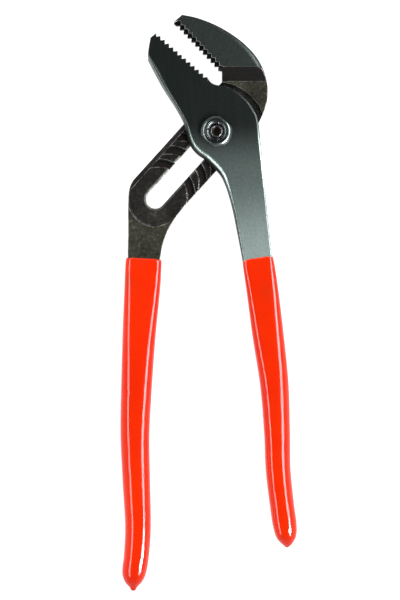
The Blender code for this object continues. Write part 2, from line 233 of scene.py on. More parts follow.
def teeth(tip, root, count, side, edge):
    """Row of teeth from tip to root; the valleys lie on the given side of the line."""
    a, b = Vector(tip), Vector(root)
    run = (b - a) / count
    across = Vector((run.y, -run.x)).normalized() * side * TOOTH_DEPTH
    out = []
    for i in range(count):
        crest = a + run * i
        for along, depth in TOOTH_SHAPE:
            out.append((*(crest + run * along + across * depth), "c", 0.0, edge))
    out.append((*b, "c", 0.0, edge))
    return out


def groove_outline():
    pts = [(-30.3, -71.5, "c", 0.2, 0.7), (-29.8, -66.5, "s", 0.2, 0.7), (-28.6, -60.0, "s", 0.2, 0.7),
           (-26.5, -54.0, "s", 0.2, 0.7), (-23.4, -48.0, "s", 0.2, 0.7),
           (*uv(-42.5, ARM_RIGHT + 0.05), "s", 0.2, 0.7), (*uv(-32.0, ARM_RIGHT), "c", 0.2, 0.7),
           (*uv(17.0, ARM_RIGHT), "c", 0.2, 0.7),
           (24.7, 9.4, "s", 0.2, 0.9), (26.8, 16.0, "s", 0.3, 1.0), (27.2, 23.5, "s", 0.4, 1.2),
           (25.6, 31.0, "s", 0.5, 2.6), (21.5, 39.2, "s", 0.3, 3.0), (15.4, 46.0, "s", 0.3, 2.4),
           (6.5, 52.7, "s", 0.2, 1.9), (-3.5, 57.9, "s", 0.2, 1.5), (-12.0, 60.7, "s", 0.1, 1.0),
           (-18.3, 61.9, "c", 0.1, 0.5), (-22.3, 58.3, "c", 0.0, 0.4), (-22.6, 57.0, "c", 0.0, 0.3)]
    pts += teeth(UPPER_TIP, UPPER_ROOT, UPPER_TEETH, -1, 0.2)
    pts += [(2.9, 31.9, "c", 0.0, 0.2), (2.9, 26.2, "c", 0.0, 0.2), (*uv(19.0, ARM_LEFT), "c", 0.1, 0.4),
            (*uv(-48.6, ARM_LEFT), "c", 0.2, 0.6), (-45.7, -28.5, "s", 0.2, 0.7),
            (-46.5, -31.4, "s", 0.2, 0.7), (-46.8, -36.0, "s", 0.2, 0.7), (-46.9, -52.5, "s", 0.2, 0.7),
            (-47.1, -66.0, "s", 0.2, 0.7), (-47.2, -71.0, "c", 0.2, 0.7)]
    return path(pts)


def tongue_outline():
    pts = [(14.4, -72.4, "c", 0.4, 0.9), (13.6, -67.6, "s", 0.4, 0.9), (11.4, -56.0, "s", 0.5, 1.1),
           (7.2, -36.6, "s", 0.6, 1.5), (4.6, -28.5, "s", 0.8, 2.0), (2.6, -24.3, "s", 1.1, 2.6),
           (0.3, -21.3, "s", 1.3, 3.0), (-3.4, -17.8, "s", 1.5, 3.3), (-7.0, -14.5, "s", 1.5, 3.3),
           (-9.3, -13.0, "s", 1.5, 3.2), (-11.5, -11.0, "s", 1.5, 3.0), (-13.5, -8.3, "s", 1.4, 2.6),
           (-14.9, -4.8, "s", 1.2, 2.2), (-15.9, -0.6, "s", 1.0, 1.8), (-17.4, 4.2, "s", 1.0, 1.6),
           (-20.5, 10.1, "s", 1.0, 1.6), (-29.3, 24.3, "s", 1.1, 1.9), (-32.6, 30.4, "s", 1.2, 2.1),
           (-36.4, 37.7, "c", 1.2, 1.3), (-36.4, 41.0, "s", 0.1, 0.4), (-35.1, 49.6, "c", 0.0, 0.3)]
    pts += teeth(LOWER_TIP, LOWER_ROOT, LOWER_TEETH, 1, 0.2)
    pts += [(-4.0, 27.1, "s", 0.0, 0.2), (-2.6, 25.6, "s", 0.0, 0.3), (-0.8, 24.7, "s", 0.0, 0.4),
            (1.2, 24.4, "c", 0.1, 0.5), (5.0, 23.9, "s", 0.2, 0.7), (9.2, 22.0, "s", 0.2, 0.8),
            (13.5, 18.9, "s", 0.2, 0.9), (16.7, 15.8, "s", 0.2, 1.0), (19.3, 12.2, "s", 0.2, 1.2),
            (21.5, 8.0, "s", 0.1, 1.3), (22.5, 3.0, "s", 0.1, 1.4), (23.1, -3.0, "s", 0.1, 1.5),
            (24.6, -18.0, "s", 0.1, 1.2), (26.4, -37.0, "s", 0.1, 0.8), (29.4, -65.4, "s", 0.1, 0.6),
            (30.1, -71.2, "c", 0.1, 0.6)]
    return path(pts)


# ---------------------------------------------------------------- solids

def mesh_object(name, bm):
    me = bpy.data.meshes.new(name)
    bmesh.ops.recalc_face_normals(bm, faces=bm.faces)
    bm.to_mesh(me)
    bm.free()
    ob = bpy.data.objects.new(name, me)
    bpy.context.scene.collection.objects.link(ob)
    return ob


def skin(name, rings):
    """Closed body over a stack of matching rings, given in millimetres."""
    bm = bmesh.new()
    rows = [[bm.verts.new((x * MM, y * MM, z * MM)) for x, y, z in ring] for ring in rings]
    size = len(rows[0])
    for a, b in zip(rows, rows[1:]):
        for k in range(size):
            j = (k + 1) % size
            bm.faces.new((a[k], a[j], b[j], b[k]))
    bm.faces.new(rows[0])
    bm.faces.new(list(reversed(rows[-1])))
    return mesh_object(name, bm)


def inward(outline):
    """Unit step into the outline at each of its points, lengthened at corners."""
    pts = [Vector(p[:2]) for p in outline]
    area = sum(a.x * b.y - b.x * a.y for a, b in zip(pts, pts[1:] + pts[:1]))
    turn = 1.0 if area > 0 else -1.0
    out = []
    for i, p in enumerate(pts):
        d0 = (p - pts[i - 1]).normalized()
        d1 = (pts[(i + 1) % len(pts)] - p).normalized()
        n = Vector((-d0.y - d1.y, d0.x + d1.x)).normalized() * turn
        side = Vector((-d0.y, d0.x)) * turn
        out.append(n / max(n.dot(side), 0.6))
    return out


def kept_in(outline, step):
    """Flank and edge widths, narrowed wherever the inset outline would fold over itself."""
    flank = [p[2] for p in outline]
    edge = [p[3] for p in outline]
    count = len(outline)
    for _ in range(60):
        folded = False
        for i in range(count):
            j = (i + 1) % count
            a, b = Vector(outline[i][:2]), Vector(outline[j][:2])
            shift = step[j] * (flank[j] + edge[j]) - step[i] * (flank[i] + edge[i])
            if (b - a).dot(b - a + shift) < 0.15 * (b - a).length_squared:
                for k in (i, j):
                    flank[k] *= 0.85
                    edge[k] *= 0.85
                folded = True
        if not folded:
            break
    return flank, edge


def rounded_plate(name, outline, z0, z1, squash=0.5, foot=0.35, start=22.0, steps=8):
    """Plate with a drafted flank and a front edge rounded over, each of its own width at every point."""
    step = inward(outline)
    flank, edge = kept_in(outline, step)

    def ring(inset, heights):
        return [(p[0] + n.x * d, p[1] + n.y * d, z) for p, n, d, z in zip(outline, step, inset, heights)]

    count = len(outline)
    rings = []
    for k in range(4):
        a = math.pi / 2 * k / 3
        rings.append(ring([foot * (1 - math.sin(a))] * count, [z0 + foot * (1 - math.cos(a))] * count))
    rings.append(ring([0.0] * count, [z1 - 6.0] * count))
    low = math.radians(start)
    for k in range(steps + 1):
        a = low + (math.pi / 2 - low) * k / steps
        rise = 1 - math.sin(a)
        run = (math.cos(low) - math.cos(a)) / math.cos(low)
        rings.append(ring([f + e * run for f, e in zip(flank, edge)],
                          [z1 - e * squash * rise for e in edge]))
    return skin(name, rings)


def slab(name, outline, z0, z1, flare=0.0, depth=0.0):
    """Straight cutter or bar; a flare widens its top over the given depth."""
    pts = [tuple(p[:2]) for p in outline]
    rings = [[(*p, z0) for p in pts]]
    if flare:
        step = inward(pts)
        rings.append([(*p, z1 - depth) for p in pts])
        wide = [(x - n.x * flare, y - n.y * flare) for (x, y), n in zip(pts, step)]
        rings.append([(*p, z1) for p in wide])
        rings.append([(*p, z1 + 4.0) for p in wide])
    else:
        rings.append([(*p, z1) for p in pts])
    return skin(name, rings)


def lathe(name, profile, steps=96):
    """Turned piece from a closed or axis-to-axis profile of (radius, height)."""
    bm = bmesh.new()
    verts = [bm.verts.new((r * MM, 0.0, z * MM)) for r, z in profile]
    edges = [bm.edges.new((a, b)) for a, b in zip(verts, verts[1:])]
    if profile[0][0] > 0.01:
        edges.append(bm.edges.new((verts[-1], verts[0])))
    bmesh.ops.spin(bm, geom=verts + edges, axis=(0, 0, 1), cent=(0, 0, 0), angle=2 * math.pi, steps=steps,
                   use_merge=True, use_duplicate=False)
    bmesh.ops.remove_doubles(bm, verts=bm.verts, dist=0.000004)
    return mesh_object(name, bm)


def turned_point(radius, degrees, centre):
    a = math.radians(SLOT_ANGLE + degrees)
    return (centre[0] + radius * math.cos(a), centre[1] + radius * math.sin(a))


def sector(inner, outer, start, stop, centre, steps=40):
    """Arc-shaped bar outline; angles in degrees from the slot line, towards the left rail."""
    pts = [turned_point(outer, start + (stop - start) * i / steps, centre) for i in range(steps + 1)]
    return pts + [turned_point(inner, stop + (start - stop) * i / steps, centre) for i in range(steps + 1)]


def stadium(start, stop, half, steps=28):
    pts = [uv(stop - half * math.sin(math.pi * i / steps), half * math.cos(math.pi * i / steps))
           for i in range(steps + 1)]
    return pts + [uv(start + half * math.sin(math.pi * i / steps), -half * math.cos(math.pi * i / steps))
                  for i in range(steps + 1)]


def circle(radius, steps=120):
    return [(radius * math.cos(2 * math.pi * i / steps), radius * math.sin(2 * math.pi * i / steps))
            for i in range(steps)]


def band(u0, u1, v0, v1):
    return [uv(u0, v0), uv(u1, v0), uv(u1, v1), uv(u0, v1)]


def baked(ob):
    bpy.context.view_layer.update()
    me = bpy.data.meshes.new_from_object(ob.evaluated_get(bpy.context.evaluated_depsgraph_get()))
    old = ob.data
    ob.modifiers.clear()
    ob.data = me
    bpy.data.meshes.remove(old)
    return ob


def boolean(ob, other, operation):
    mod = ob.modifiers.new("join", "BOOLEAN")
    mod.operation = operation
    mod.solver = "EXACT"
    mod.object = other
    baked(ob)
    bpy.data.objects.remove(other, do_unlink=True)
    return ob


def cut(ob, *cutters):
    for cutter in cutters:
        boolean(ob, cutter, "DIFFERENCE")
    return ob


def join(ob, *others):
    for other in others:
        boolean(ob, other, "UNION")
    return ob


def soften_rims(ob, levels, width, segments=3):
    """Round the front rims that lie at the given levels, where a face turns down a wall."""
    bm = bmesh.new()
    bm.from_mesh(ob.data)
    bmesh.ops.remove_doubles(bm, verts=bm.verts, dist=0.00002)
    bmesh.ops.recalc_face_normals(bm, faces=bm.faces)
    picked = [e for e in bm.edges if is_rim(e, levels)]
    bmesh.ops.bevel(bm, geom=picked, offset=width * MM, offset_type="OFFSET", segments=segments, profile=0.5,
                    affect="EDGES", clamp_overlap=True)
    bmesh.ops.recalc_face_normals(bm, faces=bm.faces)
    bm.to_mesh(ob.data)
    bm.free()
    return ob


def is_rim(edge, levels):
    z0, z1 = edge.verts[0].co.z / MM, edge.verts[1].co.z / MM
    if not any(abs(z0 - lv) < 0.01 and abs(z1 - lv) < 0.01 for lv in levels):
        return False
    if len(edge.link_faces) != 2:
        return False
    flat = [f for f in edge.link_faces if f.normal.z > 0.9]
    wall = [f for f in edge.link_faces if abs(f.normal.z) < 0.3]
    if len(flat) != 1 or len(wall) != 1:
        return False
    low = min(v.co.z for v in wall[0].verts) / MM
    return z0 - low > 1.0


def finish_piece(ob, body, node, mat, angle=30.0):
    """Clean and shade a piece, and tie it to its body, CAD node and material slot."""
    bm = bmesh.new()
    bm.from_mesh(ob.data)
    bmesh.ops.remove_doubles(bm, verts=bm.verts, dist=0.000005)
    bmesh.ops.recalc_face_normals(bm, faces=bm.faces)
    bm.to_mesh(ob.data)
    bm.free()
    ob.data.materials.clear()
    ob.data.materials.append(mat)
    ob.data.shade_smooth()
    ob.data.set_sharp_from_angle(angle=math.radians(angle))
    for face in ob.data.polygons:
        if abs(face.normal.z) > 0.99999 and (len(face.vertices) > 6 or face.area > 4e-6):
            face.use_smooth = False
    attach(ob, body)
    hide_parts(node)
    return ob


# ---------------------------------------------------------------- node helpers

class Shader:
    """Small builder for a procedural material."""

    def __init__(self, name):
        self.mat = bpy.data.materials.new(name)
        self.mat.use_nodes = True
        self.tree = self.mat.node_tree
        self.bsdf = self.tree.nodes["Principled BSDF"]
        self.coord = self.tree.nodes.new("ShaderNodeTexCoord").outputs["Object"]

    def add(self, kind, **sockets):
        node = self.tree.nodes.new(kind)
        for key, value in sockets.items():
            self.put(node.inputs[key.replace("_", " ")], value)
        return node

    def put(self, socket, value):
        if isinstance(value, bpy.types.NodeSocket):
            self.tree.links.new(value, socket)
        else:
            socket.default_value = value

    def math(self, op, a, b=0.0, clamp=False):
        node = self.tree.nodes.new("ShaderNodeMath")
        node.operation = op
        node.use_clamp = clamp
        self.put(node.inputs[0], a)
        self.put(node.inputs[1], b)
        return node.outputs[0]

    def both(self, first, *others):
        """Product of masks."""
        for other in others:
            first = self.math("MULTIPLY", first, other)
        return first

    def under(self, value, limit):
        """1 where the value is below a limit in millimetres."""
        return self.math("LESS_THAN", value, limit * MM)

    def over(self, value, limit):
        """1 where the value is above a limit in millimetres."""
        return self.math("GREATER_THAN", value, limit * MM)

    def mapped(self, scale=(1, 1, 1), turn=0.0, move=(0, 0, 0)):
        """Coordinates turned about Z first, so that X and Y run along and across a feature."""
        spin = self.add("ShaderNodeVectorRotate", Vector=self.coord, Angle=math.radians(turn))
        spin.rotation_type = "Z_AXIS"
        node = self.add("ShaderNodeMapping", Vector=spin.outputs[0], Scale=scale, Location=move)
        return node.outputs[0]

    def noise(self, vector, scale, detail=4.0, rough=0.55):
        node = self.add("ShaderNodeTexNoise", Vector=vector, Scale=scale, Detail=detail, Roughness=rough)
        return node.outputs["Fac"]

    def ramp(self, fac, *stops):
        """stops: (position, value or colour)."""
        node = self.tree.nodes.new("ShaderNodeValToRGB")
        self.put(node.inputs[0], fac)
        el = node.color_ramp.elements
        while len(el) < len(stops):
            el.new(0.5)
        for e, (at, col) in zip(el, stops):
            e.position = at
            e.color = (col, col, col, 1.0) if isinstance(col, float) else (*col, 1.0)
        return node.outputs["Color"]

    def mix(self, fac, a, b, kind="MIX"):
        node = self.tree.nodes.new("ShaderNodeMix")
        node.data_type = "RGBA"
        node.blend_type = kind
        self.put(node.inputs["Factor"], fac)
        self.put(node.inputs["A"], a if isinstance(a, bpy.types.NodeSocket) else (*a, 1.0))
        self.put(node.inputs["B"], b if isinstance(b, bpy.types.NodeSocket) else (*b, 1.0))
        return node.outputs["Result"]

    def span(self, value, low, high, out_low=0.0, out_high=1.0):
        """Smooth step from one level to another."""
        node = self.tree.nodes.new("ShaderNodeMapRange")
        node.interpolation_type = "SMOOTHSTEP"
        for i, v in enumerate((value, low, high, out_low, out_high)):
            self.put(node.inputs[i], v)
        return node.outputs[0]

    def fade(self, value, low, high, out_low=0.0, out_high=1.0):
        """Smooth step between two places in millimetres."""
        return self.span(value, low * MM, high * MM, out_low, out_high)

    def xyz(self, vector):
        node = self.add("ShaderNodeSeparateXYZ", Vector=vector)
        return node.outputs

    def upward(self):
        """How far the surface faces the front: 1 on flat faces, 0 on walls."""
        return self.xyz(self.tree.nodes.new("ShaderNodeNewGeometry").outputs["Normal"])[2]

    def bump(self, height, strength, distance, normal=None):
        """Bumped normal; the distance is in millimetres."""
        node = self.add("ShaderNodeBump", Height=height, Strength=strength, Distance=distance * MM)
        if normal is not None:
            self.put(node.inputs["Normal"], normal)
        return node.outputs[0]

    def edges(self, radius, gain):
        """Rounded normal, and a mask of the outer edges where the finish is rubbed bright; radius in mm."""
        bevel = self.add("ShaderNodeBevel", Radius=radius * MM)
        bevel.samples = 8
        geo = self.tree.nodes.new("ShaderNodeNewGeometry")
        dot = self.tree.nodes.new("ShaderNodeVectorMath")
        dot.operation = "DOT_PRODUCT"
        self.put(dot.inputs[0], bevel.outputs[0])
        self.put(dot.inputs[1], geo.outputs["Normal"])
        bend = self.math("SUBTRACT", 1.0, dot.outputs["Value"])
        shade = self.add("ShaderNodeAmbientOcclusion", Distance=radius * 2.5 * MM)
        shade.samples = 6
        open_air = self.span(shade.outputs["AO"], 0.55, 0.85)
        rub = self.math("MULTIPLY", self.math("MULTIPLY", bend, gain), open_air, clamp=True)
        return bevel.outputs[0], rub


# ---------------------------------------------------------------- materials

def row_place(s, tip, root):
    """Place along and across a tooth row, in metres from its tip, and the row's length."""
    a, b = Vector(tip), Vector(root)
    run = b - a
    angle = math.atan2(run.y, run.x)
    start = Matrix.Rotation(-angle, 2) @ a
    x, y = s.xyz(s.mapped(turn=-math.degrees(angle)))[:2]
    return s.math("SUBTRACT", x, start.x * MM), s.math("SUBTRACT", y, start.y * MM), run.length


class ForgedShader(Shader):
    """Shader that also knows the place along and across the slot, and the mottle of forging scale."""

    def __init__(self, name):
        super().__init__(name)
        x, self.y, self.z = self.xyz(self.coord)
        self.lengthways = self.math("ADD", self.math("MULTIPLY", x, U.x), self.math("MULTIPLY", self.y, U.y))
        self.across = self.math("ADD", self.math("MULTIPLY", x, V.x), self.math("MULTIPLY", self.y, V.y))
        self.up = self.upward()
        big = self.noise(self.coord, 70.0, 5.0, 0.62)
        self.grain = self.noise(self.coord, 620.0, 6.0, 0.65)
        self.mottle = self.math("ADD", self.math("MULTIPLY", big, 0.5),
                                self.math("MULTIPLY", self.grain, 0.5))


def scale_colour(s):
    """Rough brown skin, and a darker joint face with painted shade that deepens towards the hub."""
    joint = s.ramp(s.mottle, (0.38, (0.005, 0.0045, 0.0035)), (0.50, (0.021, 0.0195, 0.0160)),
                   (0.58, (0.044, 0.042, 0.035)), (0.68, (0.14, 0.134, 0.118)))
    rough_skin = s.ramp(s.mottle, (0.38, (0.007, 0.0065, 0.004)), (0.48, (0.026, 0.026, 0.017)),
                        (0.57, (0.050, 0.049, 0.035)), (0.68, (0.20, 0.192, 0.150)))
    # painted shade: the joint face is multiplied darker towards the hub
    joint = s.mix(1.0, joint, s.fade(s.lengthways, -46.0, -28.0, 0.75, 0.36), "MULTIPLY")
    skin_mask = s.math("MAXIMUM", s.fade(s.z, JOINT + 0.15, JOINT + 0.45), s.span(s.up, 0.5, 0.2))
    return s.mix(skin_mask, joint, rough_skin)


def ledge_mask(s):
    """Lowered flank outside the left rail."""
    return s.both(s.under(s.across, RAIL_LEFT - 0.15), s.under(s.z, LEDGE + 0.3), s.under(s.lengthways, 19.0))


def groove_masks(s):
    """Masks for the floors of the arc grooves, darkened as painted shade, and for the half of each floor that
    faces the hub, blackened as painted shadow.
    """
    reach = s.math("SUBTRACT", (ARC * MM) ** 2, s.math("MULTIPLY", s.across, s.across))
    reach = s.math("POWER", s.math("MAXIMUM", reach, 1e-9), 0.5)
    # whole pitches are added so that the remainder is taken of a positive number
    turn = s.math("ADD", s.math("SUBTRACT", s.lengthways, reach), (40.5 * PITCH) * MM)
    turn = s.math("SUBTRACT", s.math("MODULO", turn, PITCH * MM), PITCH / 2 * MM)
    floor = s.both(s.under(s.math("ABSOLUTE", turn), GROOVE_WIDTH / 2 + 0.4),
                   s.under(s.z, JOINT - 0.5), s.over(s.z, GROOVE_FLOOR - 0.05),
                   s.over(s.across, RAIL_LEFT + 0.05),
                   s.under(s.lengthways, 18.0), s.over(s.lengthways, -TRAVEL))
    return floor, s.both(s.fade(turn, -0.6, 0.6), floor)


def step_mask(s):
    """Slanted step under the upper jaw, coloured near black as painted shade."""
    return s.both(s.fade(s.z, SHOULDER + 0.1, SHOULDER + 0.3), s.under(s.y, STEP_HEAD),
                  s.span(s.up, 0.4, 0.6))


def slot_wear_and_highlight_mask(s):
    """Front edge of the slot: patchy wear, with a painted highlight brightest on its left and lower sides."""
    past = s.math("MINIMUM", s.math("SUBTRACT", s.lengthways, SLOT_END * MM), 0.0)
    off = s.math("ADD", s.math("MULTIPLY", s.across, s.across), s.math("MULTIPLY", past, past))
    off = s.math("SUBTRACT", s.math("POWER", off, 0.5), SLOT_HALF * MM)
    return s.both(s.fade(off, 1.4, 0.6), s.over(s.z, JOINT - 0.7), s.under(s.z, NECK - 0.1),
                  s.under(s.lengthways, SLOT_START), s.fade(s.across, 4.0, -4.0, 0.25, 0.9),
                  s.ramp(s.mottle, (0.40, 0.25), (0.56, 1.0)))


def ground_mask(s):
    """Flat ground front face of the upper jaw."""
    return s.both(s.fade(s.z, FRONT - 1.3, FRONT - 0.9), s.span(s.up, 0.62, 0.80),
                  s.fade(s.y, STEP_HEAD - 0.1, STEP_HEAD + 0.1))


def upper_teeth_mask(s):
    """Rebate and flanks of the upper teeth, fading at the root."""
    along, off, length = row_place(s, UPPER_TIP, UPPER_ROOT)
    return s.both(s.under(s.math("ABSOLUTE", off), 3.8), s.under(s.z, FRONT - 0.2), s.over(along, -3.0),
                  s.fade(along, length + 2.5, length + 0.3))


def forged_material():
    """Forging scale with a ledge, grooves darkened by painted shade and painted shadow, a worn slot edge with
    a painted highlight, painted shade on the step and towards the hub, and a ground upper jaw.
    """
    s = ForgedShader("forged_oxide")
    colour = scale_colour(s)
    colour = s.mix(ledge_mask(s), colour,
                   s.ramp(s.mottle, (0.36, (0.009, 0.0075, 0.007)), (0.66, (0.034, 0.030, 0.027))))
    floor, painted_groove_shadow = groove_masks(s)
    # painted shade darkens the groove floors; painted shadow blackens the half of each floor that faces the
    # hub
    colour = s.mix(floor, colour,
                   s.ramp(s.mottle, (0.36, (0.005, 0.003, 0.0025)), (0.66, (0.018, 0.012, 0.010))))
    colour = s.mix(painted_groove_shadow, colour, (0.0025, 0.002, 0.002))
    # painted shade: the slanted step is coloured near black
    colour = s.mix(step_mask(s), colour,
                   s.ramp(s.mottle, (0.38, (0.001, 0.0008, 0.0005)), (0.64, (0.009, 0.0072, 0.0055))))
    # worn slot edge with a painted highlight, brightest on its left and lower sides
    colour = s.mix(slot_wear_and_highlight_mask(s), colour, (0.34, 0.35, 0.32))
    flat = ground_mask(s)
    streak = s.noise(s.mapped((1.0, 26.0, 1.0), GRIND_TURN), 130.0, 5.0, 0.6)
    fine = s.noise(s.mapped((1.0, 16.0, 1.0), GRIND_TURN), 700.0, 3.0, 0.6)
    ground = s.ramp(s.math("ADD", s.math("MULTIPLY", streak, 0.6), s.math("MULTIPLY", fine, 0.4)),
                    (0.32, (0.026, 0.033, 0.030)), (0.68, (0.052, 0.063, 0.058)))
    colour = s.mix(flat, colour, ground)
    normal, rub = s.edges(0.6, 6.0)
    patchy = s.ramp(s.noise(s.coord, 260.0, 3.0), (0.40, 0.10), (0.62, 1.0))
    rub = s.math("MULTIPLY", rub, patchy, clamp=True)
    colour = s.mix(rub, colour, (0.50, 0.50, 0.48))
    colour = s.mix(upper_teeth_mask(s), colour, (0.006, 0.006, 0.006))
    s.put(s.bsdf.inputs["Base Color"], colour)
    metal = s.math("ADD", s.math("MULTIPLY", flat, 0.80), 0.15)
    s.put(s.bsdf.inputs["Metallic"], s.math("ADD", metal, s.math("MULTIPLY", rub, 0.5), clamp=True))
    s.bsdf.inputs["Specular IOR Level"].default_value = 0.07
    rough = s.mix(flat, s.span(s.mottle, 0.30, 0.70, 0.56, 0.40), s.span(fine, 0.3, 0.7, 0.30, 0.42))
    s.put(s.bsdf.inputs["Roughness"], rough)
    fleck = s.noise(s.coord, 2100.0, 3.0, 0.6)
    pits = s.math("ADD", s.math("MULTIPLY", s.grain, 0.7), s.math("MULTIPLY", fleck, 0.3))
    forged_bump = s.bump(pits, 0.35, 0.35, normal)
    ground_bump = s.bump(fine, 0.10, 0.04, normal)
    s.put(s.bsdf.inputs["Normal"], s.mix(flat, forged_bump, ground_bump))
    return s.mat


def brushed_tone_and_shade(s, y, tone):
    """Steel colour with painted shade, dark at the jaw and lightening down to the bright handle."""
    jaw = s.ramp(tone, (0.38, (0.025, 0.031, 0.028)), (0.62, (0.039, 0.048, 0.044)))
    neck = s.ramp(tone, (0.40, (0.120, 0.158, 0.143)), (0.60, (0.238, 0.300, 0.277)))
    handle = s.ramp(tone, (0.40, (0.31, 0.395, 0.365)), (0.60, (0.57, 0.71, 0.66)))
    return s.mix(s.fade(y, -22.0, -66.0), s.mix(s.fade(y, 6.0, -24.0), jaw, neck), handle)


def brushed_material():
    """Steel brushed along the handle, with painted shade darker towards the jaw, a painted highlight and
    painted shade on the rounded edge, and oxide left on the flanks.
    """
    s = Shader("brushed_steel")
    y = s.xyz(s.coord)[1]
    wide = s.noise(s.mapped((1.0, 30.0, 1.0), BRUSH_TURN), 36.0, 4.0, 0.6)
    fine = s.noise(s.mapped((1.0, 48.0, 1.0), BRUSH_TURN), 130.0, 3.0, 0.55)
    cloud = s.noise(s.coord, 750.0, 4.0, 0.6)
    lines = s.math("ADD", s.math("MULTIPLY", wide, 0.55), s.math("MULTIPLY", fine, 0.45))
    tone = s.math("ADD", s.math("MULTIPLY", lines, 0.74), s.math("MULTIPLY", cloud, 0.26))
    # painted shade: darker at the jaw, lighter down the neck and handle
    colour = brushed_tone_and_shade(s, y, tone)
    # rounded front edge: painted highlight beside the hub, painted shade along the handle
    up = s.upward()
    hub = s.both(s.fade(y, 6.0, -8.0), s.fade(y, -34.0, -20.0))
    painted_edge_shade = s.mix(s.fade(y, -17.0, -45.0), (1.0, 1.0, 1.0), (0.10, 0.12, 0.115))
    rim = s.mix(hub, painted_edge_shade, (1.7, 1.7, 1.7))
    colour = s.mix(s.span(up, 0.998, 0.94), colour, s.mix(1.0, colour, rim, "MULTIPLY"))
    # unpolished flank: dark oxide below the hub, thinner and lighter along the jaw
    wall = s.span(up, 0.62, 0.42)
    grain = s.noise(s.coord, 620.0, 5.0, 0.65)
    oxide = s.ramp(grain, (0.36, (0.010, 0.010, 0.009)), (0.66, (0.036, 0.034, 0.030)))
    light = s.ramp(grain, (0.36, (0.12, 0.14, 0.13)), (0.66, (0.24, 0.27, 0.26)))
    colour = s.mix(wall, colour, s.mix(s.fade(y, 2.0, 12.0), oxide, light))
    normal, rub = s.edges(0.4, 5.0)
    rub = s.math("MULTIPLY", rub, s.span(wall, 1.0, 0.6, 0.25, 1.0))
    colour = s.mix(rub, colour, (0.50, 0.52, 0.51))
    s.put(s.bsdf.inputs["Base Color"], colour)
    s.put(s.bsdf.inputs["Metallic"], s.span(wall, 0.0, 1.0, 1.0, 0.1))
    s.bsdf.inputs["Specular IOR Level"].default_value = 0.10
    s.put(s.bsdf.inputs["Roughness"], s.mix(wall, s.span(lines, 0.40, 0.60, 0.33, 0.285), (0.5, 0.5, 0.5)))
    s.put(s.bsdf.inputs["Normal"], s.bump(lines, 0.05, 0.04, normal))
    return s.mat


def turned_material(name, low, high):
    """Machined steel with fine rings round the axis, darker inside than on the outer shoulder, which carries
    a painted highlight, and dark in the centre recess.
    """
    s = Shader(name)
    x, y = s.xyz(s.coord)[:2]
    r = s.math("POWER", s.math("ADD", s.math("MULTIPLY", x, x), s.math("MULTIPLY", y, y)), 0.5)
    wobble = s.noise(s.coord, 300.0, 3.0)
    rings = s.math("SINE", s.math("ADD", s.math("MULTIPLY", r, 22000.0), s.math("MULTIPLY", wobble, 9.0)))
    rings = s.math("ADD", s.math("MULTIPLY", rings, 0.25), 0.5)
    smear = s.noise(s.coord, 420.0, 5.0, 0.6)
    tone = s.math("ADD", s.math("MULTIPLY", rings, 0.35), s.math("MULTIPLY", smear, 0.65))
    normal, rub = s.edges(0.3, 2.0)
    colour = s.ramp(tone, (0.36, low), (0.64, high))
    # painted highlight: the outer shoulder is left lighter than the darker inside
    colour = s.mix(1.0, colour, s.fade(r, 6.0, 7.0, 0.45, 1.0), "MULTIPLY")
    colour = s.mix(rub, colour, (0.45, 0.46, 0.45))
    colour = s.mix(s.fade(r, 2.5, 2.3), colour, (0.022, 0.018, 0.015))
    s.put(s.bsdf.inputs["Base Color"], colour)
    s.bsdf.inputs["Metallic"].default_value = 1.0
    s.put(s.bsdf.inputs["Roughness"], s.span(tone, 0.35, 0.65, 0.32, 0.20))
    s.put(s.bsdf.inputs["Normal"], s.bump(smear, 0.12, 0.12, normal))
    return s.mat


def vinyl_material(name, seed):
    """Glossy dipped vinyl with slow waves in the skin and faint handling marks near the lip."""
    s = Shader(name)
    y = s.xyz(s.coord)[1]
    waves = s.noise(s.mapped((1.0, 0.30, 1.0), 0.0, (seed, 0, 0)), 90.0, 2.0, 0.5)
    orange_peel = s.noise(s.coord, 900.0, 2.0, 0.5)
    speck = s.noise(s.coord, 2600.0, 2.0, 0.5)
    tint = s.noise(s.mapped(move=(seed, seed, 0)), 28.0, 3.0)
    colour = s.ramp(s.math("ADD", s.math("MULTIPLY", tint, 0.8), s.math("MULTIPLY", speck, 0.2)),
                    (0.36, (0.92, 0.022, 0.0)), (0.64, (1.0, 0.032, 0.0)))
    patches = s.noise(s.mapped(move=(seed, 0.02, 0)), 95.0, 3.0, 0.5)
    grime = s.both(s.ramp(patches, (0.52, 0.0), (0.70, 0.30)), s.fade(y, -98.0, -76.0))
    colour = s.mix(grime, colour, (0.46, 0.050, 0.012))
    s.put(s.bsdf.inputs["Base Color"], colour)
    s.bsdf.inputs["Metallic"].default_value = 0.0
    s.put(s.bsdf.inputs["Roughness"], s.span(waves, 0.35, 0.65, 0.07, 0.12))
    s.bsdf.inputs["Specular IOR Level"].default_value = 0.36
    height = s.math("ADD", waves, s.math("MULTIPLY", orange_peel, 0.04))
    s.put(s.bsdf.inputs["Normal"], s.bump(height, 0.25, 1.2))
    return s.mat


# ---------------------------------------------------------------- pieces

